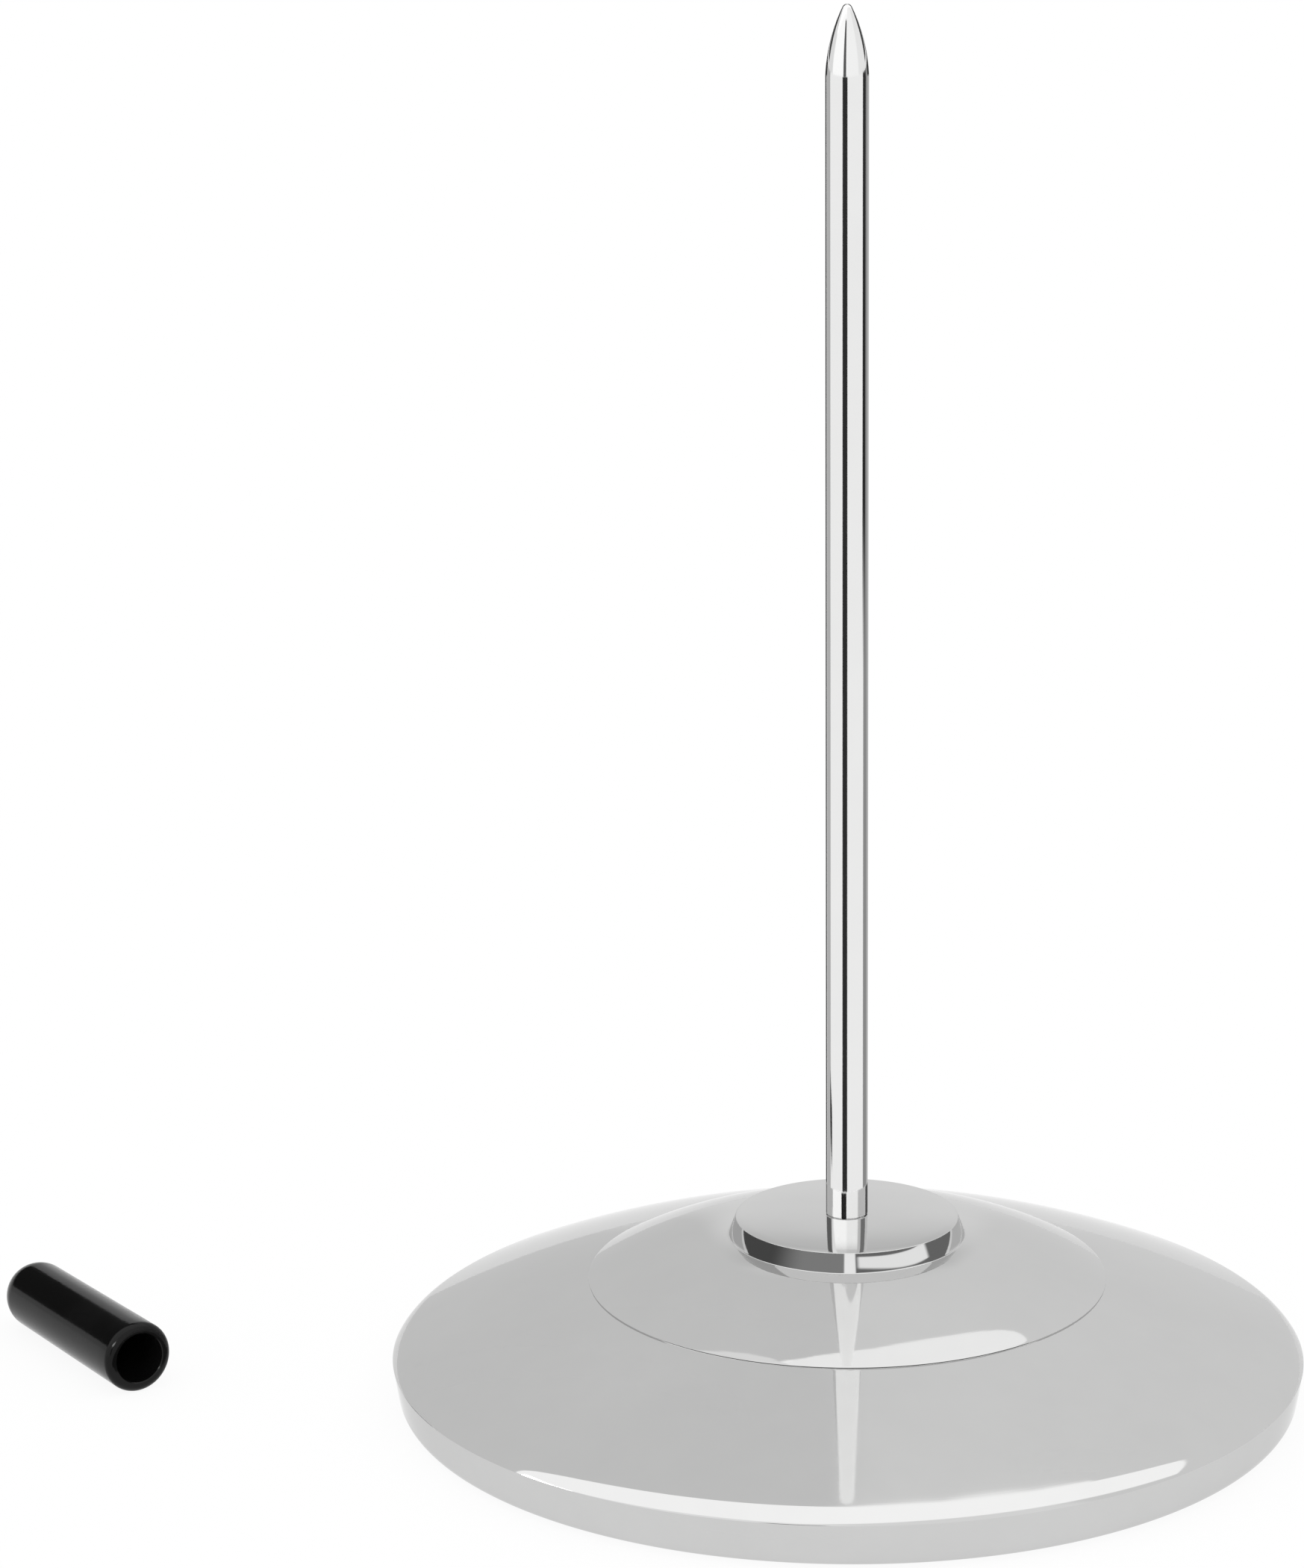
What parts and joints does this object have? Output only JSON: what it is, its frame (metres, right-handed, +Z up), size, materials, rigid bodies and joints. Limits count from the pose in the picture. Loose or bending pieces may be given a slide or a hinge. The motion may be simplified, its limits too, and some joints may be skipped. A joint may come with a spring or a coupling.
{
  "type": "receipt spike",
  "caption": "Receipt spike: an upright polished rod with a ground point on a round, domed and weighted base, with its slip-on safety cap lying beside it.",
  "frame": {"origin": "on the counter, at the centre of the pad that the base stands on", "axes": "+Z up along the spike; +X to the right and +Y away from the viewer in the picture, with the cap on the -X side"},
  "size_m": [0.1607, 0.11, 0.168],
  "materials": {
    "polished_shell": "mirror-polished stainless sheet",
    "polished_dome": "mirror-polished stainless sheet",
    "polished_rod": "polished stainless rod, ground point",
    "cast_weight": "as cast, sealed with dark paint",
    "plated_steel": "bright zinc plate",
    "spring_steel": "dull grey spring steel",
    "plate_steel": "plain rolled sheet",
    "pad_rubber": "fine-grained soft rubber",
    "cap_vinyl": "glossy moulded vinyl"
  },
  "bodies": {
    "stand": {"base_shell": "polished_shell", "upper_dome": "polished_dome", "spike": "polished_rod", "ballast_weight": "cast_weight", "plain_washer": "plated_steel", "lock_washer": "spring_steel", "hex_nut": "plated_steel", "bottom_plate": "plate_steel", "base_pad": "pad_rubber"},
    "cap": {"safety_cap": "cap_vinyl"}
  },
  "joints": [
    {"name": "cap_lift", "type": "slide", "parent": "stand", "child": "cap", "axis": [0, 0, 1], "range_m": [0, 0.18]}
  ]
}
